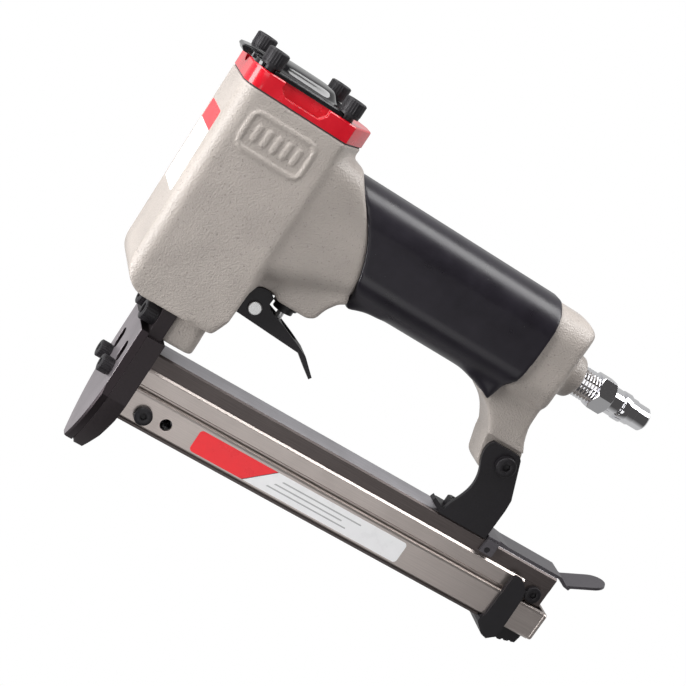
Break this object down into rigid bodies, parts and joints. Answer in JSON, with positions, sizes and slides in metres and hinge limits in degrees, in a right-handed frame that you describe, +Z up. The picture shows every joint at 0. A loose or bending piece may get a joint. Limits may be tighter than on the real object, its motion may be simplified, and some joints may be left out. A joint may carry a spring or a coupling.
{
  "type": "pneumatic point tacker",
  "caption": "Hand-held compressed-air tacker with a rubber grip, red cylinder cap, flat nose, finger trigger and a long straight drawer magazine under the handle.",
  "frame": {"origin": "middle of the nose body's tip face", "axes": "+X rearwards along the magazine, +Z up along the driver's line, +Y to the side with the bracket nut"},
  "size_m": [0.2504, 0.0418, 0.1678],
  "materials": {
    "hammered_paint": "hammered powder coat",
    "red_paint": "gloss",
    "black_gloss": "gloss",
    "black_oxide": "black oxide",
    "grip_rubber": "satin",
    "seal_rubber": "matte",
    "bumper_rubber": "matte",
    "gasket_fibre": "matte",
    "chrome": "mirror",
    "phosphate": "dark phosphate",
    "guide_steel": "ground",
    "rail_steel": "dark oxide",
    "magazine_steel": "brushed",
    "bright_steel": "ground",
    "spring_steel": "drawn",
    "cylinder_aluminium": "anodised",
    "machined_aluminium": "machined",
    "black_plastic": "matte",
    "label_foil": "satin"
  },
  "bodies": {
    "tool": {"body_casting": "hammered_paint", "grip_sleeve": "grip_rubber", "air_plug": "chrome", "cap_gasket": "gasket_fibre", "cylinder_cap": "red_paint", "exhaust_plate": "black_gloss", "cap_screws": "black_oxide", "cap_spring_washers": "black_oxide", "head_valve_spring": "spring_steel", "cylinder": "cylinder_aluminium", "cylinder_seals": "seal_rubber", "bumper": "bumper_rubber", "nose_body": "phosphate", "driver_guide_plate": "guide_steel", "nose_upper_screws": "black_oxide", "nose_lower_screws": "black_oxide", "nose_spring_washers": "black_oxide", "trigger_pin": "bright_steel", "trigger_pin_clip": "spring_steel", "valve_bushing": "black_plastic", "valve_bushing_seals": "seal_rubber", "valve_spring": "spring_steel", "magazine_rail": "rail_steel", "magazine_liner": "magazine_steel", "rear_block": "rail_steel", "rear_block_screw": "black_oxide", "support_bracket": "black_oxide", "bracket_screw": "black_oxide", "bracket_nut": "black_oxide", "foot_screw": "black_oxide", "foot_nut": "black_oxide", "latch_pin": "bright_steel", "front_label": "label_foil"},
    "driver": {"piston": "machined_aluminium", "piston_seal": "seal_rubber", "driver_blade": "bright_steel", "driver_pin": "bright_steel"},
    "head_valve": {"head_valve": "machined_aluminium", "head_valve_seal": "seal_rubber"},
    "trigger": {"trigger": "black_oxide"},
    "valve_stem": {"valve_stem": "bright_steel"},
    "drawer": {"magazine_drawer": "magazine_steel", "feed_track": "machined_aluminium", "drawer_runner": "rail_steel", "drawer_screws": "black_oxide", "drawer_end_plate": "magazine_steel", "pusher_rod": "bright_steel", "pull_grip": "black_plastic", "side_label": "label_foil", "pusher_spring": "spring_steel"},
    "pusher": {"pusher": "black_plastic"},
    "latch": {"latch_lever": "spring_steel"}
  },
  "joints": [
    {"name": "driver_slide", "type": "slide", "parent": "tool", "child": "driver", "axis": [0, 0, -1], "range_m": [0, 0.036]},
    {"name": "head_valve_slide", "type": "slide", "parent": "tool", "child": "head_valve", "axis": [0, 0, 1], "range_m": [0, 0.004], "stiffness_N_per_m": 900, "springref_m": -0.004, "deforming": ["head_valve_spring"]},
    {"name": "trigger_pivot", "type": "hinge", "parent": "tool", "child": "trigger", "pos_m": [0.028, 0, 0.0814], "axis": [0, -1, 0], "range_deg": [0, 11], "stiffness_Nm_per_rad": 0.1, "springref_deg": -17.19},
    {"name": "valve_stem_slide", "type": "slide", "parent": "tool", "child": "valve_stem", "axis": [0, 0, 1], "range_m": [0, 0.0024], "deforming": ["valve_spring"]},
    {"name": "magazine_slide", "type": "slide", "parent": "tool", "child": "drawer", "axis": [1, 0, 0], "range_m": [0, 0.14]},
    {"name": "pusher_slide", "type": "slide", "parent": "drawer", "child": "pusher", "axis": [1, 0, 0], "range_m": [0, 0.13], "stiffness_N_per_m": 20, "springref_m": -0.2, "deforming": ["pusher_spring"]},
    {"name": "latch_pivot", "type": "hinge", "parent": "tool", "child": "latch", "pos_m": [0.1633, 0, 0.0446], "axis": [0, -1, 0], "range_deg": [0, 6], "stiffness_Nm_per_rad": 0.4, "springref_deg": -8.59}
  ],
  "couplings": [
    {"joint": "valve_stem_slide", "follows": "trigger_pivot", "m_per_rad": 0.0114}
  ]
}
